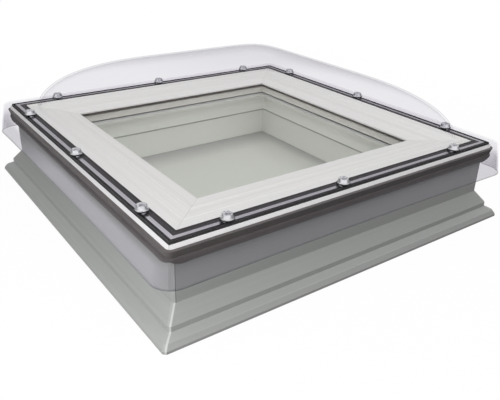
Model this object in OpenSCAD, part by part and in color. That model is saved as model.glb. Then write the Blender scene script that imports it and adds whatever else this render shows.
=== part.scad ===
// Domed flat-roof skylight: an insulating curb, a glazed sash hinged at the back, and a clear dome.
// The origin is at the middle of the underside; +Z is up, -Y is the front and the hinges are at +Y.
// Sections are drawn as (r, z): r is the distance from the middle of the opening, z the height.

/* [Curb] */
// Outer side of the square foot flange
flange_w = 860; // [760:10:1400]
// How far the foot flange reaches out past the curb wall
flange_reach = 39.5; // [34:0.5:60]
// Height of the curb's outer rim
curb_h = 138; // [130:1:200]
// Thickness of the curb wall
wall_t = 80.5; // [76:0.5:110]
// Thickness of the outer rim that stands above the inner ledge
rim_t = 40.5; // [32:0.5:46]
// Depth of the inner ledge below the rim
ledge_drop = 17; // [10:0.5:24]
// Thickness of the curb's and sash's walls and webs
web_t = 4; // [3:0.25:5]
// Height of the upright toe at the flange's edge
toe_h = 5; // [3:0.5:8]
// Height of the knee where the flange folds
knee_h = 14; // [11:0.5:17]
// Height of the foot of the upright step
step_z = 22; // [19:0.5:28]
// Height of the upright step
step_h = 10; // [5:0.5:12]
// Height at which the sloping shoulder meets the wall
shoulder_h = 58; // [48:1:62]
// Width of the planed weld at the outer corners, measured along each face
weld_cut = 5; // [2:0.5:8]
// Height of the lining groove on the inner wall
groove_z = 70; // [66:1:90]

/* [Sash] */
// How far the sash's outer face stands out past the curb wall
sash_over = 8.5; // [7:0.5:12]
// Height of the joint between curb and sash, filled by the frame seals
joint_gap = 3; // [2:0.5:5]
// Width of the white border from the glass to the seal channel
border_w = 95.6; // [90:0.2:120]
// Rise of the border from the glass to the seal channel
border_rise = 10.8; // [6:0.2:16]
// Width of the seal channel
channel_w = 28; // [26:0.5:34]
// Depth of the seal channel below the border's edge
channel_d = 10; // [8:0.5:13]
// Width of the outer rim
rim_w = 4; // [3:0.5:8]
// Plan radius of the sash's outer corners
sash_corner = 7; // [5:0.5:14]
// Width of the glazing beads
bead_w = 24.6; // [20:0.2:30]

/* [Glazing] */
// Thickness of each pane
pane_t = 4; // [3:0.5:6]
// Space between the panes
cavity = 16; // [12:1:20]
// Thickness of the setting blocks between the glass and the sash
block_t = 6; // [4:0.5:8]
// Thickness of the lower glazing gasket
gasket_low = 3; // [2:0.5:5]
// Thickness of the upper glazing gasket
gasket_up = 5; // [3:0.5:6]

/* [Dome] */
// Thickness of the dome
dome_t = 3; // [2.5:0.25:5]
// Rise of the crown above its flange
dome_rise = 142; // [90:1:220]
// How far the crown's foot stands inside the seal channel
foot_inset = 5; // [3:0.5:12]
// Gap between the sash rim and the skirt's outer face at the top
skirt_gap = 16; // [12:0.5:22]
// Outward flare of the skirt from top to bottom
skirt_flare = 9; // [4:0.5:14]
// Height of the skirt
skirt_h = 69.5; // [50:0.5:74]
// Radius of the edge between flange and skirt, on the outside
edge_r = 8; // [5:0.5:9]

/* [Screws] */
// Distance of the end screws from the corners of their row
screw_end = 100; // [60:1:140]
// How far the front's middle screw lies off the middle, clear of the opener
front_screw = -32; // [-60:1:60]
// Diameter of the screw shanks
shank_d = 5; // [4:0.25:5.5]
// Diameter of the screw heads
head_d = 24; // [18:0.5:26]
// Height of the screw heads
head_h = 9; // [6:0.5:14]

/* [Hinges] */
// Distance of each hinge from the middle
hinge_x = 235; // [120:5:250]
// Length of a hinge
hinge_len = 70; // [56:1:90]
// Thickness of a hinge leaf
leaf_t = 3; // [2:0.25:3.5]
// Outer radius of the knuckles
knuckle_r = 6; // [5:0.25:6.5]
// Radius of the hinge pins
pin_r = 3; // [2.5:0.25:3.25]
// Distance of the hinge axis from the curb wall
axis_out = 13.5; // [12:0.5:14.5]
// Distance of the hinge axis below the curb's rim
axis_drop = 21; // [20:0.5:24]

/* [Hidden] */
$fn = 48;

// Fits: play between pieces that are pushed together, round a screw, and at a hinge pin
play = 0.2;
screw_play = 0.1;
pin_play = 0.05;
seal_play = 0.3;
past = 1;

// Curb, from the flange's edge inwards
toe_lean = 5.5;
half = flange_w/2;
wall_r = half - flange_reach;
inner_r = wall_r - wall_t;
rim_in_r = wall_r - rim_t;
knee_r = half - toe_lean;
step_r = half - flange_reach/2;
ledge_z = curb_h - ledge_drop;
groove_w = 4;
groove_d = 2;
web_r = (inner_r + wall_r)/2;
curb_outside = [[half, 0], [half, toe_h], [knee_r, knee_h], [step_r, step_z], [step_r, step_z + step_h],
                [wall_r, shoulder_h], [wall_r, curb_h]];

// Sash, from its outer face inwards
rim_over = 2;
sill_in = 5.6;
leg_gap = 4;
sash_r = wall_r + sash_over;
rim_r = sash_r + rim_over;
channel_out_r = rim_r - rim_w;
channel_in_r = channel_out_r - channel_w;
lip_r = channel_in_r - border_w;
rebate_r = lip_r + bead_w;
leg_in_r = lip_r + sill_in;
leg_out_r = rim_in_r - leg_gap;
corner_r = sash_r - sash_corner;

// Sash, from its underside upwards
lip_t = 3.2;
rim_h = 5.7;
rim_fall = 6;
rim_edge = 0.5;
tongue_drop = 2.5;
barb_rise = 13;
under_z = curb_h + joint_gap;
leg_z = ledge_z + joint_gap;
sill_t = 5;
sill_z = leg_z + sill_t;
glass_z = sill_z + gasket_low;
glass_top = glass_z + 2*pane_t + cavity;
bead_z = glass_top + gasket_up;
lip_top = bead_z + lip_t;
border_z = lip_top + border_rise;
channel_z = border_z - channel_d;
rim_in_z = channel_z + rim_h;
rim_out_z = rim_in_z - rim_fall;
band_z = rim_out_z - rim_edge;
function border_at(r) = lip_top + border_rise*(r - lip_r)/border_w;
rib_in = [7, 30];
rib_w = 4;
rib_h = 0.5;
tongue = [3.6, 3.4];
tongue_z = bead_z - tongue_drop;
band_t = 7.5;
band_bulge = 6;
lip_up = 8;
lip_down = 8;
lip_z = under_z + 2;
barb = [3.8, 2.8];
barb_z = under_z + barb_rise;

// Glazing
glass_r = rebate_r - block_t;
spacer_w = 6;
edge_seal_w = 5;
block_len = 80;
block_x = glass_r*0.6;

// Screw row
dome_gap = 0.5;
seat_z = border_z + dome_gap;
rail_low = 0.5;
rail_h = channel_d - rail_low;
rail_w = 8;
rail_inset = 12;
rail_in_r = channel_in_r + rail_inset;
rail_out_r = rail_in_r + rail_w;
screw_r = rail_in_r + rail_w/2;
rail_z = channel_z + rail_h;
bush_d = 16;
washer_over = 1.5;
washer_d = head_d + washer_over;
washer_t = 0.8;
screw_len = 36;
hole_play = 2;
flange_hole_d = shank_d + hole_play;
row_end = screw_r - screw_end;
function row_points() = [for (side = [0:3], x = [-row_end, side == 0 ? front_screw : 0, row_end])
    [side, x]];

// Dome
flange_z = seat_z + dome_t;
foot_r = channel_in_r - foot_inset;
edge_out_r = rim_r + skirt_gap;
skirt_r = edge_out_r + skirt_flare;
skirt_z = flange_z - skirt_h;
crown_power = 2.5;
crown_root = 1.8;
foot_square = 12;
crown_rings = 12;
crown_steps = 64;
// Plan points of a superellipse of half width a: a circle where k = 2, nearly a square where k is large
function oval(a, k, t) = let (c = cos(t), s = sin(t))
    [a*sign(c)*pow(abs(c), 2/k), a*sign(s)*pow(abs(s), 2/k)];
// One ring of the crown, at the share u of the way from its top to its foot
function crown_ring(a, z, u) = [for (j = [0:crown_steps - 1]) let (
    p = oval(a*u, 2 + (foot_square - 2)*u, 360*(j + 0.5)/crown_steps),
    h = dome_rise*pow(1 - pow(u, crown_power), 1/crown_root)) [p.x, p.y, z + h]];

// Hinges
axis_y = wall_r + axis_out;
axis_z = curb_h - axis_drop;
knuckle_gap = 0.4;
mid_len = hinge_len*0.38;
leaf_screw_in = 12;
leaf_screw_x = hinge_len/2 - leaf_screw_in;
leaf_foot = 17;
leaf_foot_z = shoulder_h + leaf_foot;
leaf_high = 5;
hinge_screw_r = 2;
hinge_screw_len = 18;
curb_screw_z = leaf_foot_z + leaf_screw_in;
sash_leaf_in = [6, 3];
sash_leaf_z = [under_z - sash_leaf_in[0], band_z - sash_leaf_in[1]];
sash_screw_z = under_z + sash_leaf_in[0];
notch_gap = 3;

// Opener bracket under the sash's front, clear of the light well's wall
bracket_w = 50;
bracket_t = 3;
bracket_gap = 5;
bracket_d = 20;
bracket_screw_in = 6;
bracket_out_r = inner_r - bracket_gap;
bracket_in_r = bracket_out_r - bracket_d;
bracket_screw_x = 17;
bracket_screw_r = bracket_out_r - bracket_screw_in;
sill_skin = 0.5;
bracket_screw_len = bracket_t + sill_t - sill_skin;
tab_w = 24;
tab_r = min(bracket_in_r, leg_in_r) - tab_w/2;
tab_hole_r = 4;

pvc_grey = [0.62, 0.65, 0.62];
pvc_white = [0.88, 0.88, 0.86];
seal_black = [0.16, 0.15, 0.15];
metal = [0.72, 0.72, 0.74];
steel = [0.86, 0.86, 0.88];
glass = [0.75, 0.82, 0.78, 0.35];
clear = [0.9, 0.9, 0.93, 0.35];

// A section (r, z) run along the front side, from corner to corner
module along(length) {
    rotate([90, 0, -90]) linear_extrude(height = length, center = true) children();
}

// One length of a section, mitred at both ends; side 0 is the front, then right, back and left
module mitred(side) {
    rotate([0, 0, 90*side]) intersection() {
        along(2*flange_w) children();
        translate([0, 0, -past]) linear_extrude(height = flange_w)
            polygon([[0, 0], [-flange_w, -flange_w], [flange_w, -flange_w]]);
    }
}

// A ring of one section with four mitred corners
module mitred_ring() {
    for (side = [0:3]) mitred(side) children();
}

// A ring of one section with round corners about points that lie c out both ways
module rounded_ring(c) {
    for (side = [0:3]) rotate([0, 0, 90*side]) {
        along(2*c) children();
        translate([c, -c, 0]) rotate([0, 0, -90]) rotate_extrude(angle = 90) translate([-c, 0]) children();
    }
}

// A square with true round corners
module rounded_square(h, r) {
    square([2*h, 2*(h - r)], center = true);
    square([2*(h - r), 2*h], center = true);
    for (x = [-1, 1], y = [-1, 1]) translate([x*(h - r), y*(h - r)]) circle(r);
}

// A rectangle of the section between two corners
module bar(low, high) {
    translate(low) square(high - low);
}

module curb_section() {
    difference() {
        polygon(concat(curb_outside, [[rim_in_r, curb_h], [rim_in_r, ledge_z], [inner_r, ledge_z],
                                      [inner_r, 0]]));
        bar([inner_r - past, groove_z - groove_w/2], [inner_r + groove_d, groove_z + groove_w/2]);
        for (z = [[web_t, shoulder_h - web_t], [shoulder_h, ledge_z - web_t]]) {
            bar([inner_r + web_t, z[0]], [web_r - web_t/2, z[1]]);
            bar([web_r + web_t/2, z[0]], [wall_r - web_t, z[1]]);
        }
        bar([wall_r, web_t], [step_r - web_t, step_z - web_t]);
        bar([rim_in_r + web_t, ledge_z], [wall_r - web_t, curb_h - web_t]);
    }
}

// What stays of the section's outside where a corner weld, seen across the corner, is planed off
module weld_plane() {
    along(2*flange_w) polygon(concat(
        [[-flange_w, 0]], [for (p = curb_outside) [(2*p.x - weld_cut)/sqrt(2), p.y]], [[-flange_w, curb_h]]));
}

module curb_length(side) {
    color(pvc_grey) intersection() {
        mitred(side) curb_section();
        intersection_for (turn = [-45, 45]) rotate([0, 0, 90*side + turn]) weld_plane();
    }
}

module curb_back_length() {
    difference() {
        curb_length(2);
        hinge_curb_places() rotate([90, 0, 0])
            cylinder(r = hinge_screw_r + screw_play, h = hinge_screw_len + past);
    }
}

// A low bulb that lies on the curb and meets the sash
module bulb_section(r, z) {
    bulb_h = joint_gap - seal_play;
    polygon([[r - 4, z], [r + 4, z], [r + 4, z + bulb_h*0.4], [r + 2.4, z + bulb_h],
             [r - 2.4, z + bulb_h], [r - 4, z + bulb_h*0.4]]);
}

module frame_seal_inner() {
    color(seal_black) mitred_ring() bulb_section(inner_r + 12, ledge_z);
}

module frame_seal_outer() {
    color(seal_black) mitred_ring() bulb_section((rim_in_r + wall_r)/2, curb_h);
}

// A low rib that runs along the border's slope
module border_rib(r) {
    foot = rib_w/2;
    polygon([[r - foot, border_at(r - foot) - past], [r + foot, border_at(r + foot) - past],
             [r + foot, border_at(r + foot)], [r + foot/2, border_at(r + foot/2) + rib_h],
             [r - foot/2, border_at(r - foot/2) + rib_h], [r - foot, border_at(r - foot)]]);
}

module sash_section() {
    difference() {
        polygon([[leg_in_r, leg_z], [leg_out_r, leg_z], [leg_out_r, under_z], [sash_r, under_z],
                 [sash_r, band_z], [rim_r, band_z], [rim_r, rim_out_z], [channel_out_r, rim_in_z],
                 [channel_out_r, channel_z], [channel_in_r, channel_z], [channel_in_r, border_z],
                 [rebate_r, border_at(rebate_r)], [rebate_r, sill_z], [leg_in_r, sill_z]]);
        bar([rebate_r - past, tongue_z], [rebate_r + tongue.x + play, tongue_z + tongue.y]);
        bar([rebate_r + web_t, leg_z + web_t], [leg_out_r - web_t, under_z - web_t/2]);
        bar([rebate_r + web_t, under_z + web_t], [leg_out_r - 2*web_t, tongue_z - web_t/2]);
        bar([leg_out_r - web_t, under_z + web_t], [channel_in_r - web_t, channel_z - web_t/2]);
    }
    border_rib(rebate_r + rib_in[0]);
    border_rib(channel_in_r - rib_in[1]);
}

// The outside of the sash in plan: the round-cornered body, and the rim above it
module sash_envelope() {
    linear_extrude(height = band_z) rounded_square(sash_r, sash_corner);
    translate([0, 0, band_z]) linear_extrude(height = flange_w/4) rounded_square(rim_r, rim_r - corner_r);
}

module sash_length(side) {
    color(pvc_white) difference() {
        intersection() {
            mitred(side) sash_section();
            sash_envelope();
        }
        rounded_ring(corner_r) bar([sash_r - barb.x - play, barb_z], [sash_r + past, barb_z + barb.y]);
        screw_places() translate([0, 0, -screw_len - past])
            cylinder(d = shank_d + 2*screw_play, h = screw_len + 2*past);
        if (side == 2) hinge_sash_places() rotate([90, 0, 0])
            cylinder(r = hinge_screw_r + screw_play, h = hinge_screw_len + past);
        if (side == 0) bracket_screw_places()
            cylinder(r = hinge_screw_r + screw_play, h = bracket_screw_len + play);
    }
}

module glazing_bead(side) {
    color(pvc_white) mitred(side) polygon([
        [lip_r, bead_z], [lip_r, lip_top], [rebate_r, border_at(rebate_r)],
        [rebate_r, tongue_z + tongue.y - play],
        [rebate_r + tongue.x, tongue_z + tongue.y - play], [rebate_r + tongue.x, tongue_z + play],
        [rebate_r - 3, tongue_z + play], [rebate_r - 3, bead_z]]);
}

module pane(z) {
    color(glass) translate([-glass_r, -glass_r, z]) cube([2*glass_r, 2*glass_r, pane_t]);
}

// A rectangular ring between two distances from the middle
module square_ring(low, high) {
    difference() {
        translate([-high.x, -high.x, low.y]) cube([2*high.x, 2*high.x, high.y - low.y]);
        translate([-low.x, -low.x, low.y - past]) cube([2*low.x, 2*low.x, high.y - low.y + 2*past]);
    }
}

module glass_spacer() {
    out_r = glass_r - edge_seal_w;
    color(metal) square_ring([out_r - spacer_w, glass_z + pane_t], [out_r, glass_z + pane_t + cavity]);
}

module glass_edge_seal() {
    low_z = glass_z + pane_t;
    color(seal_black) square_ring([glass_r - edge_seal_w, low_z], [glass_r, low_z + cavity]);
}

module glazing_gasket_upper() {
    color(seal_black) square_ring([lip_r + 1, glass_top], [lip_r + 8, bead_z]);
}

module glazing_gasket_lower() {
    color(seal_black) square_ring([leg_in_r + 3, sill_z], [glass_r, glass_z]);
}

module setting_blocks() {
    color([0.2, 0.25, 0.3]) for (side = [0:3], x = [-block_x, block_x]) rotate([0, 0, 90*side])
        translate([x - block_len/2, -rebate_r, sill_z]) cube([block_len, block_t, glass_top - sill_z - 1]);
}

module screw_rail(side) {
    color(metal) difference() {
        mitred(side) bar([rail_in_r, channel_z], [rail_out_r, rail_z]);
        screw_places() translate([0, 0, channel_z - flange_z - past])
            cylinder(d = shank_d + 2*screw_play, h = rail_h + 2*past);
    }
}

// A strip level with the rail, with one upright lip that meets the dome
module dome_seal_inner() {
    in_r = channel_in_r + play;
    strip_z = rail_z - play;
    color(seal_black) mitred_ring() polygon([
        [in_r, channel_z], [rail_in_r - play, channel_z], [rail_in_r - play, strip_z], [in_r + 2.4, strip_z],
        [in_r + 2, seat_z - play], [in_r, seat_z - play]]);
}

// A flat strip with one upright lip that meets the dome
module dome_seal_outer() {
    out_r = channel_out_r - play;
    strip_z = rim_in_z - play;
    color(seal_black) mitred_ring() polygon([
        [rail_out_r + play, channel_z], [out_r, channel_z], [out_r, strip_z], [out_r - 1, strip_z],
        [out_r - 1.4, seat_z - play], [out_r - 3, seat_z - play], [out_r - 3.4, strip_z],
        [rail_out_r + play, strip_z]]);
}

// The dark band round the sash: a waisted side wall with a bulging lip that curls in under the sash.
// The lip's outside is an elliptic arc about lip_z, from the waist down to the sash's outer face.
module side_band_section() {
    lip = [for (a = [60:-12:-84]) [sash_r + band_bulge*cos(a), lip_z + (a > 0 ? lip_up : lip_down)*sin(a)]];
    tip_r = wall_r + 2;
    tip_z = lip_z - lip_down - 1.5;
    polygon(concat(
        [[sash_r, band_z], [sash_r + band_t, band_z]], lip,
        [[tip_r, tip_z], [tip_r, tip_z + lip_t/2], [sash_r - 1, under_z - 4], [sash_r + 2, under_z - 1.5],
         [sash_r + 2.5, under_z], [sash_r, under_z], [sash_r, barb_z + play],
         [sash_r - barb.x, barb_z + play], [sash_r - barb.x, barb_z + barb.y - play],
         [sash_r, barb_z + barb.y - play]]));
}

module side_band() {
    notch = [hinge_len + 2*notch_gap, sash_corner + band_bulge];
    foot_z = axis_z - knuckle_r - past;
    color(seal_black) difference() {
        rounded_ring(corner_r) side_band_section();
        hinge_places() translate([-notch.x/2, sash_r - 2*notch_gap, foot_z])
            cube([notch.x, notch.y, sash_leaf_z[1] + past - foot_z]);
    }
}

// The crown: a closed shell whose plan goes from a circle at the top to a rounded square at the foot
module dome_crown() {
    inner_a = foot_r - dome_t;
    share = [for (i = [1:crown_rings]) sin(90*i/crown_rings)];
    outer = [for (u = share) each crown_ring(foot_r, flange_z, u)];
    inner = [for (u = share) each crown_ring(inner_a, seat_z, u)];
    foot = [for (p = crown_ring(foot_r, seat_z, 1)) p];
    n = crown_steps;
    m = crown_rings*n;
    top = [[0, 0, flange_z + dome_rise], [0, 0, seat_z + dome_rise]];
    points = concat(top, outer, foot, inner);
    outer_0 = 2;
    foot_0 = outer_0 + m;
    inner_0 = foot_0 + n;
    caps = [for (j = [0:n - 1]) each [
        [0, outer_0 + (j + 1)%n, outer_0 + j],
        [1, inner_0 + j, inner_0 + (j + 1)%n]]];
    outer_wall = [for (i = [0:crown_rings - 1], j = [0:n - 1]) let (
        a = outer_0 + i*n + j, b = outer_0 + i*n + (j + 1)%n) each [[a, b, b + n], [a, b + n, a + n]]];
    inner_wall = [for (i = [0:crown_rings - 2], j = [0:n - 1]) let (
        a = inner_0 + i*n + j, b = inner_0 + i*n + (j + 1)%n) each [[a, b + n, b], [a, a + n, b + n]]];
    last = inner_0 + m - n;
    rim = [for (j = [0:n - 1]) let (k = (j + 1)%n) each [
        [foot_0 + j, foot_0 + k, last + k], [foot_0 + j, last + k, last + j]]];
    polyhedron(points, concat(caps, outer_wall, inner_wall, rim));
}

// The bend between flange and skirt, and the skirt with its outward flare
module skirt_section() {
    bend = [for (a = [90:-15:0]) a];
    outer = [for (a = bend) [edge_out_r - edge_r + edge_r*cos(a), flange_z - edge_r + edge_r*sin(a)]];
    inner_r = edge_r - dome_t;
    inside = [for (a = bend) [edge_out_r - edge_r + inner_r*cos(a), flange_z - edge_r + inner_r*sin(a)]];
    polygon(concat([[edge_out_r - edge_r - past, flange_z]], outer,
                   [[skirt_r, skirt_z], [skirt_r - dome_t, skirt_z]],
                   [for (i = [len(bend) - 1:-1:0]) inside[i]], [[edge_out_r - edge_r - past, seat_z]]));
}

module dome() {
    plate_r = edge_out_r - edge_r;
    color(clear) {
        dome_crown();
        difference() {
            translate([0, 0, seat_z]) linear_extrude(height = dome_t) difference() {
                rounded_square(plate_r, plate_r - corner_r);
                polygon([for (p = crown_ring(foot_r - dome_t/2, 0, 1)) [p.x, p.y]]);
            }
            screw_places() translate([0, 0, -dome_t - past]) cylinder(d = flange_hole_d, h = dome_t + 2*past);
        }
        rounded_ring(corner_r) skirt_section();
    }
}

// The places of the dome screws, at the top of the dome's flange
module screw_places() {
    for (p = row_points()) rotate([0, 0, 90*p[0]]) translate([p[1], -screw_r, flange_z]) children();
}

module dome_screws() {
    base = washer_t;
    color(steel) screw_places() difference() {
        rotate_extrude() polygon([
            [0, -screw_len], [shank_d/2 - 1, -screw_len], [shank_d/2, -screw_len + 2], [shank_d/2, base],
            [head_d/2, base], [head_d/2, base + 1.5], [head_d/2 - 1.5, base + 3],
            [head_d/2 - 4, base + head_h - 1],
            [head_d/2 - 5.2, base + head_h], [0, base + head_h]]);
        translate([0, 0, base + head_h - 4]) cylinder(d = head_d/3, h = 4 + past, $fn = 6);
    }
}

// A flat ring about a screw
module screw_ring(d, z, h) {
    translate([0, 0, z]) difference() {
        cylinder(d = d, h = h);
        translate([0, 0, -past]) cylinder(d = shank_d + 2*screw_play, h = h + 2*past);
    }
}

module screw_washers() {
    color(seal_black) screw_places() screw_ring(washer_d, 0, washer_t);
}

module screw_bushes() {
    color(steel) screw_places() screw_ring(bush_d, rail_z - flange_z, seat_z - rail_z);
}

// The two hinges' places along the back
module hinge_places() {
    for (x = [-hinge_x, hinge_x]) translate([x, 0, 0]) children();
}

// The hinge screws' places on the outer faces of the leaves
module hinge_curb_places() {
    hinge_places() for (x = [-leaf_screw_x, leaf_screw_x])
        translate([x, wall_r + leaf_t, curb_screw_z]) children();
}

module hinge_sash_places() {
    hinge_places() for (x = [-leaf_screw_x, leaf_screw_x])
        translate([x, sash_r + leaf_t, sash_screw_z]) children();
}

// A length of a hinge's section (y, z), from x = low to x = high
module knuckle(low, high) {
    translate([low, 0, 0]) rotate([90, 0, 90]) linear_extrude(height = high - low) difference() {
        union() {
            children();
            translate([axis_y, axis_z]) circle(knuckle_r);
        }
        translate([axis_y, axis_z]) circle(pin_r + pin_play);
    }
}

module leaf_holes(y, z) {
    for (x = [-leaf_screw_x, leaf_screw_x]) translate([x, y + leaf_t + past, z])
        rotate([90, 0, 0]) cylinder(r = hinge_screw_r + screw_play, h = leaf_t + 2*past);
}

module hinge_frame_leaf(x) {
    tangent = knuckle_r*0.7;
    web_z = axis_z - leaf_high - 2*knuckle_r;
    color(metal) translate([x, 0, 0]) difference() {
        union() {
            translate([-hinge_len/2, wall_r, leaf_foot_z])
                cube([hinge_len, leaf_t, axis_z - leaf_high - leaf_foot_z]);
            for (end = [[-hinge_len/2, -mid_len/2 - knuckle_gap], [mid_len/2 + knuckle_gap, hinge_len/2]])
                knuckle(end[0], end[1]) polygon([
                    [wall_r, axis_z - leaf_high], [wall_r, web_z],
                    [wall_r + leaf_t, web_z], [axis_y + tangent, axis_z - tangent],
                    [axis_y - tangent, axis_z + tangent]]);
        }
        leaf_holes(wall_r, curb_screw_z);
    }
}

module hinge_sash_leaf(x) {
    side = knuckle_r*0.98;
    color(metal) translate([x, 0, 0]) difference() {
        union() {
            translate([-hinge_len/2, sash_r, sash_leaf_z[0]])
                cube([hinge_len, leaf_t, sash_leaf_z[1] - sash_leaf_z[0]]);
            knuckle(-mid_len/2, mid_len/2) polygon([
                [sash_r, sash_leaf_z[0] + past], [sash_r + leaf_t, sash_leaf_z[0] + past],
                [axis_y + side, axis_z + 1], [axis_y - side, axis_z + 1]]);
        }
        leaf_holes(sash_r, sash_screw_z);
    }
}

module hinge_pin(x) {
    head = [pin_r + 1.5, 2];
    color(steel) translate([x - hinge_len/2, axis_y, axis_z]) rotate([0, 90, 0]) {
        cylinder(r = pin_r, h = hinge_len);
        translate([0, 0, -head[1]]) cylinder(r = head[0], h = head[1]);
        translate([0, 0, hinge_len]) cylinder(r = head[0], h = head[1]);
    }
}

// A pan-head screw that points along -Z from the face it clamps
module pan_screw(length) {
    translate([0, 0, -length]) cylinder(r = hinge_screw_r, h = length);
    head_r = 2*hinge_screw_r;
    head_z = 1.1*hinge_screw_r;
    rotate_extrude() polygon([[0, 0], [head_r, 0], [head_r, head_z/2], [0.7*head_r, head_z], [0, head_z]]);
}

module hinge_curb_screws() {
    color(steel) hinge_curb_places() rotate([-90, 0, 0]) pan_screw(hinge_screw_len);
}

module hinge_sash_screws() {
    color(steel) hinge_sash_places() rotate([-90, 0, 0]) pan_screw(hinge_screw_len);
}

// The opener bracket's screws, on the underside of its plate
module bracket_screw_places() {
    for (x = [-bracket_screw_x, bracket_screw_x])
        translate([x, -bracket_screw_r, leg_z - bracket_t]) children();
}

// A flat plate under the sill, with a round-ended tab that reaches into the light well
module opener_bracket() {
    color(metal) translate([0, 0, leg_z - bracket_t]) difference() {
        linear_extrude(height = bracket_t) {
            translate([-bracket_w/2, -bracket_out_r]) square([bracket_w, bracket_out_r - bracket_in_r]);
            translate([-tab_w/2, -bracket_out_r]) square([tab_w, bracket_out_r - tab_r]);
            translate([0, -tab_r]) circle(d = tab_w);
        }
        translate([0, -tab_r, -past]) cylinder(r = tab_hole_r, h = bracket_t + 2*past);
        for (x = [-bracket_screw_x, bracket_screw_x]) translate([x, -bracket_screw_r, -past])
            cylinder(r = hinge_screw_r + screw_play, h = bracket_t + 2*past);
    }
}

module opener_bracket_screws() {
    color(steel) bracket_screw_places() rotate([180, 0, 0]) pan_screw(bracket_screw_len);
}

curb_length(0);  // curb_front
curb_length(1);  // curb_right
curb_back_length();  // curb_back
curb_length(3);  // curb_left
frame_seal_inner();
frame_seal_outer();
hinge_frame_leaf(-hinge_x);  // hinge_frame_leaf_left
hinge_frame_leaf(hinge_x);  // hinge_frame_leaf_right
hinge_pin(-hinge_x);  // hinge_pin_left
hinge_pin(hinge_x);  // hinge_pin_right
hinge_curb_screws();
sash_length(0);  // sash_front
sash_length(1);  // sash_right
sash_length(2);  // sash_back
sash_length(3);  // sash_left
glazing_bead(0);  // glazing_bead_front
glazing_bead(1);  // glazing_bead_right
glazing_bead(2);  // glazing_bead_back
glazing_bead(3);  // glazing_bead_left
pane(glass_z + pane_t + cavity);  // glass_outer_pane
pane(glass_z);  // glass_inner_pane
glass_spacer();
glass_edge_seal();
glazing_gasket_upper();
glazing_gasket_lower();
setting_blocks();
screw_rail(0);  // screw_rail_front
screw_rail(1);  // screw_rail_right
screw_rail(2);  // screw_rail_back
screw_rail(3);  // screw_rail_left
dome_seal_inner();
dome_seal_outer();
side_band();
dome();
dome_screws();
screw_washers();
screw_bushes();
hinge_sash_leaf(-hinge_x);  // hinge_sash_leaf_left
hinge_sash_leaf(hinge_x);  // hinge_sash_leaf_right
hinge_sash_screws();
opener_bracket();
opener_bracket_screws();
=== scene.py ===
"""Looks for a domed flat-roof skylight.

Every solid of the frame gets a finish, and smooth surfaces stand for the clear dome, the rubber band round
the sash and the dome screws. Lengths are in metres, in the frame's own axes: -Y is the front, +Z is up.
"""

import math

import bpy
import numpy as np
from mathutils import Matrix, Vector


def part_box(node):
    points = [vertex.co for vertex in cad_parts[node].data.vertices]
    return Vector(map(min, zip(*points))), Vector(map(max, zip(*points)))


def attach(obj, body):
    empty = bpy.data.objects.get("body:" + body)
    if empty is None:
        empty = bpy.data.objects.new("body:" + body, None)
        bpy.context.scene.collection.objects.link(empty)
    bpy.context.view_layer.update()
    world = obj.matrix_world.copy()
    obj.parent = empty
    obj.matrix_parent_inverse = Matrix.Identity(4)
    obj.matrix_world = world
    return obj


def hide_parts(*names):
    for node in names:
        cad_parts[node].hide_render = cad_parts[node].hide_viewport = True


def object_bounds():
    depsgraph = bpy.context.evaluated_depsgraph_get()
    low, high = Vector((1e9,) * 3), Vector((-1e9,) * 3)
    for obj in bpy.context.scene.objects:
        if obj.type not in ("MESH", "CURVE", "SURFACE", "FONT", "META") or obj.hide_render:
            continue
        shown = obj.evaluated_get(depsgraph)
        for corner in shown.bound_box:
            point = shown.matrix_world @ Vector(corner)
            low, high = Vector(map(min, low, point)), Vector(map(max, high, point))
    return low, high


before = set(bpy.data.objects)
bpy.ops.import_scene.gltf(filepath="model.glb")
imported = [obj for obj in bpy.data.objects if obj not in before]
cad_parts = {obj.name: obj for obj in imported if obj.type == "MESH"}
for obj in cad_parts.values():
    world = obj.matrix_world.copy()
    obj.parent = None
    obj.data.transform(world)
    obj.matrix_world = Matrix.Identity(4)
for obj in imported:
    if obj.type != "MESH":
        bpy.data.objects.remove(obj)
cad_lo, cad_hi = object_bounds()

MM = 0.001

# Sizes that the frame gives
FOOT_HALF = cad_hi.x
DOME_LO, DOME_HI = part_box("dome")
FLANGE_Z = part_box("screw_washers")[0].z
HEAD_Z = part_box("screw_washers")[1].z
SCREW_LO, SCREW_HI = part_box("dome_screws")
BAND_LO, BAND_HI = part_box("side_band")

# Centres about which the plan corners of the band and of the dome's skirt turn
BAND_CORNER = 392*MM
DOME_CORNER = 391*MM
# Outside of the sash under its rim, which carries the band
SASH_FACE = 399*MM
# How far from the middle the sash's rim begins
SASH_RIM = 396.5*MM
# Radius of the bend between the dome's flange and its skirt
DOME_EDGE = 8*MM
# Width of the planed strip beside the curb's mitres, as a difference of |y| and |x|
WELD_WIDTH = 5*MM
# Foot of the curb's upright wall, and how far from the middle the curb's outside begins
WALL_FOOT = 58*MM
CURB_OUTSIDE = 370*MM
# Height of the lining groove in the light well
GROOVE_Z = 70*MM

WHITE = (1.0, 1.0, 1.0)


def show(thing):
    """Puts an object into the scene."""
    bpy.context.scene.collection.objects.link(thing)


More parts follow.
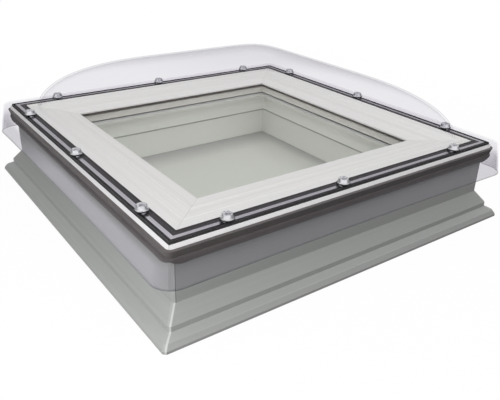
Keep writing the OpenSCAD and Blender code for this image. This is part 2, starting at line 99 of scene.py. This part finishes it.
def ring_stations(corner, side_count, arc_count):
    """Stations once round a square with round corners, from the right end of the back: bases and normals.

    The plan corners turn about (corner, corner). A section's point at distance r lies at
    base + (r - corner) normal. Along a side the base runs as corner sin v, v from -90 to 90 degrees, so that
    stations crowd towards the corners. In a corner the base stays and the normal turns by a right angle. The
    other three quarters are turned copies.
    """
    out = np.array([0.0, 1.0])
    ahead = np.array([-1.0, 0.0])
    along = corner*np.sin(np.linspace(-math.pi/2, math.pi/2, side_count))[:, None]
    turn = np.linspace(0, math.pi/2, arc_count + 2)[1:-1, None]
    base = np.concatenate([out*corner + ahead*along, np.repeat([(out + ahead)*corner], arc_count, 0)])
    normal = np.concatenate([np.repeat([out], side_count, 0), out*np.cos(turn) + ahead*np.sin(turn)])
    quarter = np.arange(4)*math.pi/2
    turns = np.stack([np.cos(quarter), -np.sin(quarter), np.sin(quarter), np.cos(quarter)], -1)
    return tuple(np.einsum("kab,nb->kna", turns.reshape(4, 2, 2), part).reshape(-1, 2)
                 for part in (base, normal))


def swept(base, normal, reach, height):
    """A section carried round the stations, as rows of points: base + reach normal, at its height."""
    plan = base[:, None] + normal[:, None]*reach[..., None]
    return np.concatenate([plan, np.broadcast_to(height, plan.shape[:2])[..., None]], -1)


def super_radius(angle, half, power):
    """Polar radius of |x|^k + |y|^k = half^k, with k = power: R = half / (|cos|^k + |sin|^k)^(1/k)."""
    c = np.abs(np.cos(angle))
    s = np.abs(np.sin(angle))
    return half/(c**power + s**power)**(1/power)


def grids_mesh(name, grids, crease):
    """One mesh from grids of points P[row, column]: a face on each cell and a cap on each end row.

    The columns close in a ring, and the mesh is smooth up to the crease angle in degrees.
    """
    points, faces, start = [], [], 0
    for grid in grids:
        rows, columns = grid.shape[:2]
        i, j = np.meshgrid(np.arange(rows - 1), np.arange(columns), indexing="ij")
        j2 = (j + 1) % columns
        cells = np.stack([i*columns + j, i*columns + j2, (i + 1)*columns + j2, (i + 1)*columns + j], -1)
        ring = np.arange(columns)
        faces += (cells.reshape(-1, 4) + start).tolist()
        faces += [(ring[::-1] + start).tolist(), (ring + (rows - 1)*columns + start).tolist()]
        points.append(grid.reshape(-1, 3))
        start += rows*columns
    mesh = bpy.data.meshes.new(name)
    mesh.from_pydata(np.concatenate(points).tolist(), [], faces)
    mesh.polygons.foreach_set("use_smooth", np.ones(len(mesh.polygons), bool))
    mesh.update()
    mesh.set_sharp_from_angle(angle=math.radians(crease))
    return mesh


def add_piece(mesh, body, material, stands_for):
    """Puts a mesh into the scene as a piece that rides on a body and takes its finish from a slot."""
    piece = bpy.data.objects.new(mesh.name, mesh)
    show(piece)
    piece.data.materials.append(material)
    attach(piece, body)
    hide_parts(stands_for)
    return piece


class Nodes:
    """A node tree under construction.

    A value is another node's output, a number, a vector, or a colour as red, green and blue.
    """

    def __init__(self, tree):
        self.tree = tree

    def link(self, source, target):
        self.tree.links.new(source, target)

    def feed(self, value, socket):
        """Gives a socket its value."""
        if isinstance(value, bpy.types.NodeSocket):
            self.link(value, socket)
        elif socket.type == "RGBA":
            socket.default_value = (*value, 1.0)
        else:
            socket.default_value = value

    def fill(self, node, inputs):
        """Gives a node's named sockets their values, with _ for a blank in a name."""
        for name, value in inputs.items():
            self.feed(value, node.inputs[name.replace("_", " ")])

    def node(self, kind, **inputs):
        made = self.tree.nodes.new(kind)
        self.fill(made, inputs)
        return made

    def math(self, operation, first, second=0.0):
        """One step of arithmetic on two values."""
        made = self.node("ShaderNodeMath")
        made.operation = operation
        self.feed(first, made.inputs[0])
        self.feed(second, made.inputs[1])
        return made.outputs["Value"]

    def graded(self, source, start, end, low, high):
        """A low value up to the source's start, then evenly up to a high one at its end, and that beyond."""
        ends = dict(From_Min=start, From_Max=end, To_Min=low, To_Max=high)
        return self.node("ShaderNodeMapRange", Value=source, **ends).outputs["Result"]

    def span(self, share, low, high):
        """The low value where a share is 0, and the high one where it is 1."""
        return self.graded(share, 0.0, 1.0, low, high)

    def rise(self, source, start, end, top=1.0):
        """0 up to a start, then evenly up to a top value at an end, and that beyond it."""
        return self.graded(source, start, end, 0.0, top)

    def ray_kinds(self):
        """Marks on rays that show the background, straight or through clear pieces, and on mirrored rays."""
        path = self.node("ShaderNodeLightPath")
        seen = self.math("MAXIMUM", path.outputs["Is Camera Ray"], path.outputs["Is Transmission Ray"])
        return seen, path.outputs["Is Glossy Ray"]


class Finish(Nodes):
    """A node material under construction, with one Principled shader."""

    def __init__(self, name):
        self.material = bpy.data.materials.new(name)
        self.material.use_nodes = True
        super().__init__(self.material.node_tree)
        self.shader = self.tree.nodes["Principled BSDF"]
        self.output = self.tree.nodes["Material Output"]

    def set(self, **inputs):
        self.fill(self.shader, inputs)

    def coordinates(self, scale):
        """The piece's own coordinates, times a scale on each axis."""
        place = self.node("ShaderNodeTexCoord")
        mapping = self.node("ShaderNodeMapping", Vector=place.outputs["Object"], Scale=scale)
        return mapping.outputs["Vector"]

    def place(self):
        """The piece's own X, Y and Z at a point."""
        made = self.node("ShaderNodeSeparateXYZ", Vector=self.coordinates((1.0, 1.0, 1.0)))
        return [made.outputs[axis] for axis in "XYZ"]

    def noise(self, scale, detail=3.0):
        """Cloudy noise around 0.5, with a scale per metre on each axis."""
        made = self.node("ShaderNodeTexNoise", Scale=1.0, Detail=detail, Roughness=0.55)
        self.link(self.coordinates(scale), made.inputs["Vector"])
        return made.outputs["Fac"]

    def ramp(self, source, low, high, start=0.3, end=0.7):
        """A colour that goes from low at a start to high at an end."""
        made = self.node("ShaderNodeValToRGB", Fac=source)
        first, last = made.color_ramp.elements
        first.position = start
        last.position = end
        first.color = (*low, 1.0)
        last.color = (*high, 1.0)
        return made.outputs["Color"]

    def blend(self, share, first, second):
        """The first colour where share is 0, and the second where it is 1."""
        made = self.node("ShaderNodeMix")
        made.data_type = "RGBA"
        share_in, first_in, second_in = made.inputs[0], made.inputs[6], made.inputs[7]
        self.feed(share, share_in)
        self.feed(first, first_in)
        self.feed(second, second_in)
        return made.outputs[2]

    def shaders(self, share, first, second):
        """Shows the first shader where share is 0, and the second where it is 1."""
        made = self.node("ShaderNodeMixShader", Fac=share)
        self.link(first, made.inputs[1])
        self.link(second, made.inputs[2])
        self.link(made.outputs["Shader"], self.output.inputs["Surface"])

    def bump(self, height, strength, distance):
        made = self.node("ShaderNodeBump", Height=height, Strength=strength, Distance=distance)
        self.set(Normal=made.outputs["Normal"])

    def facing(self):
        """f = 1 - |cos| of the angle to the surface: 0 where it is seen face on, 1 edge on."""
        return self.node("ShaderNodeLayerWeight", Blend=0.5).outputs["Facing"]

    def beside_mitre(self):
        """|y| - |x|: nought on the corners' diagonals, above it on the front and back lengths."""
        x, y, _ = self.place()
        return self.math("SUBTRACT", self.math("ABSOLUTE", y), self.math("ABSOLUTE", x))

    def reach(self):
        """The larger of |x| and |y|."""
        x, y, _ = self.place()
        return self.math("MAXIMUM", self.math("ABSOLUTE", x), self.math("ABSOLUTE", y))

    def within(self, source, middle, half):
        """1 where a value is less than a half width from a middle."""
        return self.math("LESS_THAN", self.math("ABSOLUTE", self.math("SUBTRACT", source, middle)), half)


def extruded(finish, low, high, roughness, along, streak):
    """Draw lines along an extruded length: a streaky colour, which is returned, and an even, fine grain.

    The colour follows the mean of a fine noise and of one that is four times as broad.
    """
    depth = 0.2*MM
    lines = finish.noise(along, detail=4.0)
    broad = finish.noise(tuple(scale/4 for scale in along), detail=1.0)
    finish.set(Roughness=finish.span(lines, roughness - 0.06, roughness + 0.08))
    finish.bump(lines, streak, depth)
    mean = finish.math("MULTIPLY", finish.math("ADD", lines, broad), 0.5)
    return finish.ramp(mean, low, high, 0.35, 0.65)


def grey_plastic(name, along):
    """Grey extruded plastic, pale on the planed welds of the shoulder and the foot.

    In the light well it is painted pale, as painted light from above, palest above its lining groove, and
    the groove itself is a darker band of painted shade. Up the wall a dark line marks the weld's edge on the
    front and back lengths.
    """
    weld_grey = (0.55, 0.56, 0.54)
    line_grey = (0.18, 0.18, 0.18)
    groove_shade_grey = (0.45, 0.455, 0.44)
    lit_well_low, lit_well_high = (0.86, 0.87, 0.835), (0.95, 0.96, 0.925)
    line_half = 0.7*MM
    groove_half = 1.8*MM
    finish = Finish(name)
    colour = extruded(finish, (0.368, 0.379, 0.368), (0.408, 0.419, 0.408), 0.45, along, 0.1)
    z = finish.place()[2]
    beside = finish.beside_mitre()
    on_wall = finish.math("GREATER_THAN", z, WALL_FOOT)
    on_foot = finish.math("LESS_THAN", z, WALL_FOOT)
    planed = finish.within(beside, WELD_WIDTH/2, WELD_WIDTH/2)
    line = finish.within(beside, WELD_WIDTH + line_half, line_half)
    colour = finish.blend(finish.math("MULTIPLY", planed, on_foot), colour, weld_grey)
    colour = finish.blend(finish.math("MULTIPLY", line, on_wall), colour, line_grey)
    # Painted light: the well's inside is coloured pale as if lit from above, palest above the groove
    well = finish.blend(finish.math("GREATER_THAN", z, GROOVE_Z), lit_well_low, lit_well_high)
    # Painted shade: a darker band in the lining groove
    inside = finish.blend(finish.within(z, GROOVE_Z, groove_half), well, groove_shade_grey)
    outside = finish.math("GREATER_THAN", finish.reach(), CURB_OUTSIDE)
    finish.set(Base_Color=finish.blend(outside, inside, colour))
    return finish.material


def white_plastic(name, along):
    """White extruded plastic, brightest on the outer rim, with a hairline at the mitres."""
    rim_white = (0.89, 0.88, 0.875)
    hairline_grey = (0.50, 0.49, 0.47)
    hairline_half = 0.35*MM
    finish = Finish(name)
    colour = extruded(finish, (0.785, 0.78, 0.755), (0.865, 0.86, 0.84), 0.4, along, 0.08)
    colour = finish.blend(finish.math("GREATER_THAN", finish.reach(), SASH_RIM), colour, rim_white)
    hairline = finish.within(finish.beside_mitre(), 0.0, hairline_half)
    finish.set(Base_Color=finish.blend(hairline, colour, hairline_grey), Specular_IOR_Level=0.3)
    return finish.material


def rail_metal(name, along):
    """Mill-finished aluminium with its draw lines."""
    finish = Finish(name)
    colour = extruded(finish, (0.84, 0.825, 0.855), (0.94, 0.925, 0.955), 0.3, along, 0.2)
    finish.set(Base_Color=colour, Metallic=1.0)
    return finish.material


def rubber(name, low, high, roughness):
    """Moulded rubber: clouded in colour, matt with a soft sheen, and with a fine orange-peel grain."""
    grain_depth = 0.1*MM
    finish = Finish(name)
    grain = finish.noise((900.0, 900.0, 900.0))
    cloud = finish.noise((18.0, 18.0, 40.0))
    finish.set(Base_Color=finish.ramp(cloud, low, high))
    finish.set(Roughness=finish.span(cloud, roughness - 0.05, roughness + 0.07))
    finish.bump(grain, 0.05, grain_depth)
    return finish.material


def bright_steel(name, low, high, roughness):
    """Turned or plated steel: bright metal with a fine uneven polish."""
    finish = Finish(name)
    polish = finish.noise((120.0, 120.0, 300.0))
    finish.set(Base_Color=finish.ramp(polish, low, high), Metallic=1.0)
    finish.set(Roughness=finish.span(polish, roughness - 0.05, roughness + 0.08))
    return finish.material


def moulded(name, low, high, roughness):
    """Plain moulded plastic with a slight cloud in its colour."""
    finish = Finish(name)
    finish.set(Base_Color=finish.ramp(finish.noise((40.0, 40.0, 40.0)), low, high), Roughness=roughness)
    return finish.material


def polished_share(finish, facing, gloss):
    """The mirrored share of a clear sheet, gloss (0.04 + 0.96 f^5)."""
    return finish.span(finish.math("POWER", facing, 5.0), 0.04*gloss, gloss)


def clear_sheet(finish, tint, share, mirror, roughness):
    """Lets light straight through in a tint, and mirrors a share of it with a faint haze in the polish."""
    through = finish.node("ShaderNodeBsdfTransparent", Color=tint)
    haze = finish.noise((9.0, 9.0, 9.0))
    finish.set(Base_Color=mirror, Metallic=1.0, Roughness=finish.span(haze, *roughness))
    finish.shaders(share, through.outputs["BSDF"], finish.shader.outputs["BSDF"])


def pane_glass(name, face_on, edge_on, gloss):
    """Clear glass, greener where it is seen edge on."""
    finish = Finish(name)
    facing = finish.facing()
    tint = finish.ramp(facing, face_on, edge_on, 0.8, 1.0)
    clear_sheet(finish, tint, polished_share(finish, facing, gloss), mirror=WHITE, roughness=(0.01, 0.02))
    return finish.material


def dome_plastic(name, crown, edge_on, skirt, cut, mirror, gloss, sheen):
    """Clear formed plastic: a thin crown, greyer edge on, a tint that grows down the skirt, a dark cut edge.

    Towards the skirt's foot a sheen is added to the mirrored share. It grows with f up to 0.6 and is lost
    from 0.7 to 0.9.
    """
    tint_end = FLANGE_Z - 40*MM
    sheen_start, sheen_end = FLANGE_Z - 23*MM, FLANGE_Z - 37*MM
    crown_foot = FLANGE_Z + 1*MM
    cut_top = DOME_LO.z + 1.2*MM
    finish = Finish(name)
    facing = finish.facing()
    z = finish.place()[2]
    on_crown = finish.math("GREATER_THAN", z, crown_foot)
    tint = finish.blend(on_crown, crown, finish.ramp(facing, crown, edge_on, 0.65, 1.0))
    tint = finish.blend(finish.rise(z, FLANGE_Z - DOME_EDGE, tint_end), tint, skirt)
    tint = finish.blend(finish.math("LESS_THAN", z, cut_top), tint, cut)
    slant = finish.math("MULTIPLY", finish.rise(facing, -0.2, 0.6, sheen), finish.rise(facing, 0.9, 0.7))
    satin = finish.math("MULTIPLY", finish.rise(z, sheen_start, sheen_end), slant)
    share = finish.math("ADD", polished_share(finish, facing, gloss), satin)
    clear_sheet(finish, tint, share, mirror, roughness=(0.02, 0.05))
    return finish.material


# Scale of the draw lines along an extruded length and across it, for lengths along X and along Y
DRAWN, ACROSS = 1.5, 260.0
ALONG = {"x": (DRAWN, ACROSS, ACROSS), "y": (ACROSS, DRAWN, ACROSS)}

MATERIALS = {
    "seal": rubber("seal_rubber", (0.035, 0.032, 0.034), (0.047, 0.044, 0.046), 0.6),
    # The lower glazing gasket is coloured pale: painted light that offsets the shade under the glass
    "gasket": rubber("painted_light_gasket", (0.72, 0.73, 0.75), (0.78, 0.79, 0.81), 0.6),
    "band": rubber("band_rubber", (0.100, 0.088, 0.086), (0.125, 0.112, 0.109), 0.45),
    "screw": bright_steel("screw_steel", (0.72, 0.72, 0.75), (0.86, 0.86, 0.89), 0.24),
    "zinc": bright_steel("zinc_steel", (0.55, 0.55, 0.56), (0.68, 0.67, 0.66), 0.38),
    "spacer": moulded("spacer_plastic", (0.84, 0.82, 0.775), (0.88, 0.86, 0.82), 0.6),
    "block": moulded("block_plastic", (0.03, 0.04, 0.06), (0.05, 0.06, 0.08), 0.5),
    "pane": pane_glass("pane_glass", face_on=(0.983, 0.988, 0.978), edge_on=(0.80, 0.86, 0.82), gloss=0.1),
    "dome": dome_plastic("dome_plastic", crown=(0.954, 0.951, 0.960), edge_on=(0.86, 0.855, 0.87),
                         skirt=(0.880, 0.872, 0.892), cut=(0.70, 0.70, 0.71), mirror=(0.94, 0.92, 1.0),
                         gloss=0.03, sheen=0.17),
}
for axis, along in ALONG.items():
    MATERIALS[f"grey_{axis}"] = grey_plastic(f"grey_plastic_{axis}", along)
    MATERIALS[f"white_{axis}"] = white_plastic(f"white_plastic_{axis}", along)
    MATERIALS[f"rail_{axis}"] = rail_metal(f"rail_metal_{axis}", along)

# The finish of each length by its side, then of the other solids. What isn't listed is a seal or a washer.
SIDES = {"front": "x", "back": "x", "left": "y", "right": "y"}
LENGTHS = {"curb": "grey", "sash": "white", "glazing_bead": "white", "screw_rail": "rail"}
SOLID_FINISH = {f"{length}_{side}": f"{finish}_{axis}"
                for length, finish in LENGTHS.items() for side, axis in SIDES.items()}
SOLID_FINISH |= {
    "glass_outer_pane": "pane", "glass_inner_pane": "pane", "glass_spacer": "spacer",
    "glazing_gasket_lower": "gasket", "glazing_gasket_upper": "band",
    "setting_blocks": "block", "opener_bracket": "zinc",
    "hinge_frame_leaf_left": "zinc", "hinge_frame_leaf_right": "zinc",
    "hinge_sash_leaf_left": "zinc", "hinge_sash_leaf_right": "zinc",
    "dome_screws": "screw", "screw_bushes": "screw", "hinge_pin_left": "screw", "hinge_pin_right": "screw",
    "hinge_curb_screws": "screw", "hinge_sash_screws": "screw", "opener_bracket_screws": "screw",
    "side_band": "band", "dome": "dome",
}
for name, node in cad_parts.items():
    node.data.materials.clear()
    node.data.materials.append(MATERIALS[SOLID_FINISH.get(name, "seal")])


def dome_shell():
    """The clear dome as one closed shell on a grid of rings (rows) and stations (columns).

    Crown: z = top of the flange + rise (1 - u^2.5)^(1/1.8), half width = foot u, plan exponent k = 2 + 10 u.
    A fillet arc, the flat flange, an edge arc and the flared skirt follow, the skirt's foot bowed in by a
    parabola along each side. The inner side repeats them inset by the sheet's thickness.
    """
    thick = 3*MM
    foot = 364*MM
    fillet = 4*MM
    flare = 12*MM
    bow = 3*MM
    width_power, height_power = 2.5, 1.8
    apex_power, foot_power = 2, 12
    # Angle of the first ring, which leaves a tiny cap at the apex
    apex = 0.001
    rise = DOME_HI.z - FLANGE_Z
    plate = DOME_HI.x + bow - flare - DOME_EDGE
    base, normal = ring_stations(DOME_CORNER, side_count=80, arc_count=16)
    rim = base + normal*(plate - DOME_CORNER)
    angle = np.arctan2(rim[:, 1], rim[:, 0])
    bowed = 1 - (np.min(np.abs(base), 1)/DOME_CORNER)**2

    def polar(radius, height):
        """Rings at the stations' angles: (radius cos, radius sin, height)."""
        level = np.broadcast_to(height, radius.shape)
        return np.stack([radius*np.cos(angle), radius*np.sin(angle), level], -1)

    def side(inset):
        """The sheet's outer side from the apex to the skirt's foot, or its inner side at an inset."""
        top = FLANGE_Z - inset
        half = foot - inset
        bend = fillet + inset
        edge = DOME_EDGE - inset
        u_end = (1 - (bend/rise)**height_power)**(1/width_power)
        u = u_end*np.sin(np.linspace(apex, math.pi/2, 48))[:, None]
        crown = polar(super_radius(angle, half*u, apex_power + (foot_power - apex_power)*u),
                      top + rise*(1 - u**width_power)**(1/height_power))
        turn = np.linspace(0, math.pi/2, 7)[1:, None]
        foot_arc = polar(super_radius(angle, half*u_end + bend*(1 - np.cos(turn)), foot_power),
                         top + bend*(1 - np.sin(turn)))
        turn = np.linspace(0, math.pi/2, 9)
        round_r = plate + edge*np.sin(turn)
        round_z = FLANGE_Z - DOME_EDGE + edge*np.cos(turn)
        down = np.linspace(0, 1, 7)[1:]
        skirt_r = round_r[-1] + flare*down - bow*bowed[:, None]*down
        skirt_z = round_z[-1] + (DOME_LO.z - round_z[-1])*down
        edge_arc = swept(base, normal, round_r - DOME_CORNER, round_z).swapaxes(0, 1)
        skirt = swept(base, normal, skirt_r - DOME_CORNER, skirt_z).swapaxes(0, 1)
        return np.concatenate([crown, foot_arc, edge_arc, skirt])

    return grids_mesh("dome_shell", [np.concatenate([side(thick), side(0)[::-1]])], crease=60)


def band_section():
    """The band's section as rows of (r, z), once round: the waisted outside, the lip's curl and the inside.

    The lip is an elliptic arc about the sash's face at the lip's height: r = face + 6 cos a and
    z = lip + 8 sin a in millimetres. Above it the side narrows from the rounded top edge down to the waist,
    as t^0.8.
    """
    lip = BAND_LO.z + 9.5*MM
    lip_out, lip_high = 6*MM, 8*MM
    tip = SASH_FACE - 6.5*MM
    rounding = 0.8*MM
    a = np.radians(np.linspace(58, -84, 16))
    arc = np.stack([SASH_FACE + lip_out*np.cos(a), lip + lip_high*np.sin(a)], -1)
    t = np.linspace(0, 1, 8)[:-1]
    side_r = BAND_HI.x + (arc[0, 0] - BAND_HI.x)*t**0.8
    side_z = BAND_HI.z - rounding + (arc[0, 1] - BAND_HI.z + rounding)*t
    top = [(SASH_FACE, BAND_HI.z), (BAND_HI.x - rounding, BAND_HI.z)]
    inside = [(tip, BAND_LO.z), (tip, BAND_LO.z + 1.5*MM), (SASH_FACE - 1*MM, lip - 6*MM),
              (SASH_FACE + 2*MM, lip - 3.5*MM), (SASH_FACE + 2.5*MM, lip - 2*MM), (SASH_FACE, lip - 2*MM)]
    return np.concatenate([top, np.stack([side_r, side_z], -1), arc, inside])


def band_sweep():
    """The rubber band round the sash in lengths that end at the hinges, with a thin bridge above each hinge.

    In the corners the lip stands up: with d the distance in mm along the lip from the corner's middle, it is
    lifted by 6 exp(-(d/16)^2) - 1.5 exp(-((d - 28)/10)^2) mm at its foot and drawn in by 2.5 exp(-(d/16)^2).
    """
    hinge_x = 235*MM
    notch = 38*MM
    bridge = 2*MM
    bridge_in = 0.3*MM
    wave, wave_run, drawn_in = 6*MM, 16*MM, 2.5*MM
    dip, dip_run, dip_at = 1.5*MM, 10*MM, 28*MM
    # Depth under the band's top down to which the side stays straight, and over which the wave then grows
    still, growing = 14*MM, 16*MM
    # Distance along the lip for each radian of a corner
    corner_run = 16*MM
    section = band_section()
    droop = np.clip((BAND_HI.z - still - section[:, 1])/growing, 0, 1)
    base, normal = ring_stations(BAND_CORNER, side_count=90, arc_count=15)
    straight = BAND_CORNER - np.min(np.abs(base), 1)
    turned = np.abs(np.arctan2(np.abs(normal[:, 1]), np.abs(normal[:, 0])) - math.pi/4)
    away = straight + corner_run*turned
    peak = np.exp(-(away/wave_run)**2)[:, None]
    lift = wave*peak - dip*np.exp(-((away - dip_at)/dip_run)**2)[:, None]
    reach = section[:, 0] - BAND_CORNER - drawn_in*peak*droop
    band = swept(base, normal, reach, section[:, 1] + lift*droop)

    x = base[:, 0]
    back = np.isclose(normal[:, 1], 1)
    middle = np.flatnonzero(back & (np.abs(x) < hinge_x - notch))
    round_about = np.flatnonzero(~(back & (np.abs(x) < hinge_x + notch)))
    round_about = np.roll(round_about, -np.argmax(np.diff(round_about)) - 1)

    def cut(rows, start_x, end_x):
        """A length of the band with square ends at two places along the back."""
        first = rows[:1].copy()
        last = rows[-1:].copy()
        first[..., 0] = start_x
        last[..., 0] = end_x
        return np.concatenate([first, rows, last])

    lengths = [cut(band[middle], hinge_x - notch, notch - hinge_x),
               cut(band[round_about], -hinge_x - notch, hinge_x + notch)]
    under = BAND_HI.z - bridge
    strip = section[:3].tolist() + [(BAND_HI.x - bridge_in, under), (SASH_FACE, under)]
    for end in (hinge_x + notch, notch - hinge_x):
        place = np.broadcast_to(strip, (2, len(strip), 2))
        along = np.broadcast_to(np.array([end, end - 2*notch])[:, None, None], (2, len(strip), 1))
        lengths.append(np.concatenate([along, place], -1))
    return grids_mesh("band_sweep", lengths, crease=50)


def screw_set():
    """The dome screws as turned solids, each on a grid of heights (rows) and angles (columns).

    The head is a cone with a socket of five lobes: the socket's radius is 5.4 + 1.4 cos 5a mm, and where a
    lobe reaches the rim the rim dips by up to 1.8 mm.
    """
    head_r, rim_r, rim_in = 12*MM, 8.2*MM, 7.6*MM
    shank_r, core_r = 2.5*MM, 0.2*MM
    socket_r, lobe, lobe_dip = 5.4*MM, 1.4*MM, 1.8*MM
    socket_floor, socket_edge, socket_taper = 3.4*MM, 0.5*MM, 0.92
    row = SCREW_HI.x - head_r
    row_end = 285*MM
    front_middle = -32*MM
    tip = SCREW_LO.z - HEAD_Z
    head = SCREW_HI.z - HEAD_Z
    angle = np.linspace(0, 2*math.pi, 60, endpoint=False)
    turned = np.array([
        (core_r, tip), (1.5*MM, tip), (shank_r, tip + 2*MM), (shank_r, 0), (head_r - 0.4*MM, 0),
        (head_r, 0.3*MM), (head_r, 1.2*MM), (head_r - 0.8*MM, 1.9*MM), (10.4*MM, 4.5*MM), (9.3*MM, 7.6*MM),
        (8.9*MM, 8.4*MM)])
    lobes = np.cos(5*angle)
    rim_z = head - lobe_dip*np.clip(lobes, 0, 1)**1.5
    socket = socket_r + lobe*lobes
    ring = np.ones_like(angle)
    radius = [rim_r*ring, np.minimum(socket + socket_edge, rim_in), socket, socket*socket_taper, core_r*ring]
    height = [rim_z, rim_z, rim_z - socket_edge, socket_floor*ring, socket_floor*ring]
    radius = np.concatenate([np.repeat(turned[:, :1], len(angle), 1), radius])
    height = np.concatenate([np.repeat(turned[:, 1:], len(angle), 1), height])
    screw = np.stack([radius*np.cos(angle), radius*np.sin(angle), height + HEAD_Z], -1)
    along = np.array([[-row_end, front_middle, row_end]] + [[-row_end, 0, row_end]]*3)
    quarter = np.arange(4)[:, None]*math.pi/2
    place_x = along*np.cos(quarter) + row*np.sin(quarter)
    place_y = along*np.sin(quarter) - row*np.cos(quarter)
    places = np.stack([place_x, place_y, 0*place_x], -1).reshape(-1, 1, 1, 3)
    return grids_mesh("screw_set", screw + places, crease=35)


dome = add_piece(dome_shell(), "sash", MATERIALS["dome"], "dome")
add_piece(band_sweep(), "sash", MATERIALS["band"], "side_band")
add_piece(screw_set(), "sash", MATERIALS["screw"], "dome_screws")
# Light reaches what lies under the clear pieces unhindered
for clear in (dome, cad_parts["glass_outer_pane"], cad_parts["glass_inner_pane"]):
    clear.visible_shadow = False
    clear.visible_diffuse = False


def add_camera():
    """The camera at the photograph's place, from the fit of the curb's and sash's corners."""
    data = bpy.data.cameras.new("camera")
    data.sensor_width = 36.0
    data.lens = 42.97
    camera = bpy.data.objects.new("camera", data)
    right = (0.81254881, -0.58225489, 0.02727033)
    up = (0.23882206, 0.375229, 0.89563788)
    back = (-0.53172216, -0.72123674, 0.44394719)
    place = Matrix((right, up, back)).transposed().to_4x4()
    place.translation = (-0.75340, -1.07959, 0.62694)
    camera.matrix_world = place
    show(camera)
    bpy.context.scene.camera = camera


def floor_finish(glow):
    """A white floor with a pale patch in the light well.

    Round the curb a share of what is seen, glow, shines white, all of it farther out, and the rest takes
    light and shadow. Mirrors see that white in full on the left, and dimmer elsewhere. In the well the floor
    has a painted shadow that makes it greyer along the walls at the back and right.
    """
    well_pale, well_shadow_grey, well_bounce = (0.68, 0.685, 0.655), (0.515, 0.505, 0.51), (0.87, 0.87, 0.85)
    around_seen, around_bounce = (0.90, 0.90, 0.90), (0.11, 0.11, 0.11)
    mirrored_white = 0.3
    under_foot = FOOT_HALF - 5*MM
    finish = Finish("floor")
    x, y, _ = finish.place()
    reach = finish.reach()
    seen, mirrored = finish.ray_kinds()
    outside = finish.math("GREATER_THAN", reach, under_foot)
    # Painted shadow: the well's floor greys towards the back and right walls
    wall_shadow = finish.math("MAXIMUM", finish.rise(x, 265*MM, 305*MM), finish.rise(y, 215*MM, 300*MM))
    inside = finish.blend(seen, well_bounce, finish.blend(wall_shadow, well_pale, well_shadow_grey))
    around = finish.blend(seen, around_bounce, around_seen)
    finish.set(Base_Color=finish.blend(outside, inside, around), Roughness=0.9, Specular_IOR_Level=0.1)
    on_left = finish.math("MULTIPLY", finish.math("LESS_THAN", x, y), finish.rise(y, 750*MM, 450*MM))
    in_mirrors = finish.math("MULTIPLY", mirrored, finish.span(on_left, mirrored_white, 1.0))
    shown = finish.math("MULTIPLY", finish.math("ADD", seen, in_mirrors), outside)
    share = finish.math("MULTIPLY", shown, finish.graded(reach, 600*MM, 1500*MM, glow, 1.0))
    white = finish.node("ShaderNodeEmission", Color=WHITE, Strength=1.0)
    finish.shaders(share, finish.shader.outputs["BSDF"], white.outputs["Emission"])
    return finish.material


def add_floor(glow):
    """A wide floor just under the curb's foot."""
    half = 12.0
    level = -0.5*MM
    mesh = bpy.data.meshes.new("floor")
    corners = [(-half, -half, level), (half, -half, level), (half, half, level), (-half, half, level)]
    mesh.from_pydata(corners, [], [(0, 1, 2, 3)])
    mesh.materials.append(floor_finish(glow))
    floor = bpy.data.objects.new("floor", mesh)
    show(floor)


def add_world(horizon, zenith, overhead, behind):
    """A dim light on the object, stronger from above, and plain white where the camera sees it.

    Mirrors see it white low down at the front left, and dimmer behind and overhead.
    """
    front_left = (-0.6, -0.8, 0.0)
    world = bpy.data.worlds.new("studio")
    bpy.context.scene.world = world
    world.use_nodes = True
    sky = Nodes(world.node_tree)
    direction = sky.node("ShaderNodeTexCoord").outputs["Generated"]
    height = sky.node("ShaderNodeSeparateXYZ", Vector=direction).outputs["Z"]
    frontal = sky.node("ShaderNodeVectorMath")
    frontal.operation = "DOT_PRODUCT"
    sky.feed(direction, frontal.inputs[0])
    sky.feed(front_left, frontal.inputs[1])
    seen, mirrored = sky.ray_kinds()
    low_down = sky.graded(frontal.outputs["Value"], 0.1, 0.7, behind, 1.0)
    in_mirrors = sky.graded(height, 0.25, 0.6, low_down, overhead)
    lighting = sky.graded(height, 0.0, 0.8, horizon, zenith)
    strength = sky.span(seen, sky.span(mirrored, lighting, in_mirrors), 1.0)
    sky.fill(sky.tree.nodes["Background"], dict(Color=WHITE, Strength=strength))


def add_softbox(name, place, aim, size, power):
    """A square soft light at a place, turned towards a point. Mirrors don't show it."""
    data = bpy.data.lights.new(name, "AREA")
    data.shape = "SQUARE"
    data.size = size
    data.energy = power
    lamp = bpy.data.objects.new(name, data)
    lamp.visible_glossy = False
    back = np.array(place) - np.array(aim)
    back /= np.linalg.norm(back)
    steep = abs(back[2]) > 0.99
    right = np.cross((0.0, 1.0, 0.0) if steep else (0.0, 0.0, 1.0), back)
    right /= np.linalg.norm(right)
    turn = Matrix((tuple(right), tuple(np.cross(back, right)), tuple(back))).transposed().to_4x4()
    turn.translation = place
    lamp.matrix_world = turn
    show(lamp)


add_camera()
add_floor(glow=0.96)
add_world(horizon=0.06, zenith=0.67, overhead=0.85, behind=0.28)
add_softbox("top_softbox", place=(0.2, -0.35, 3.0), aim=(0.0, 0.0, 0.1), size=3.0, power=34.5)
add_softbox("left_softbox", place=(-1.05, -0.72, 0.17), aim=(-0.3, -0.2, 0.08), size=0.3, power=3.4)
add_softbox("front_softbox", place=(-0.85, -1.15, 1.3), aim=(-0.2, -0.3, 0.1), size=0.6, power=5.0)

bpy.context.scene.view_settings.view_transform = "Standard"
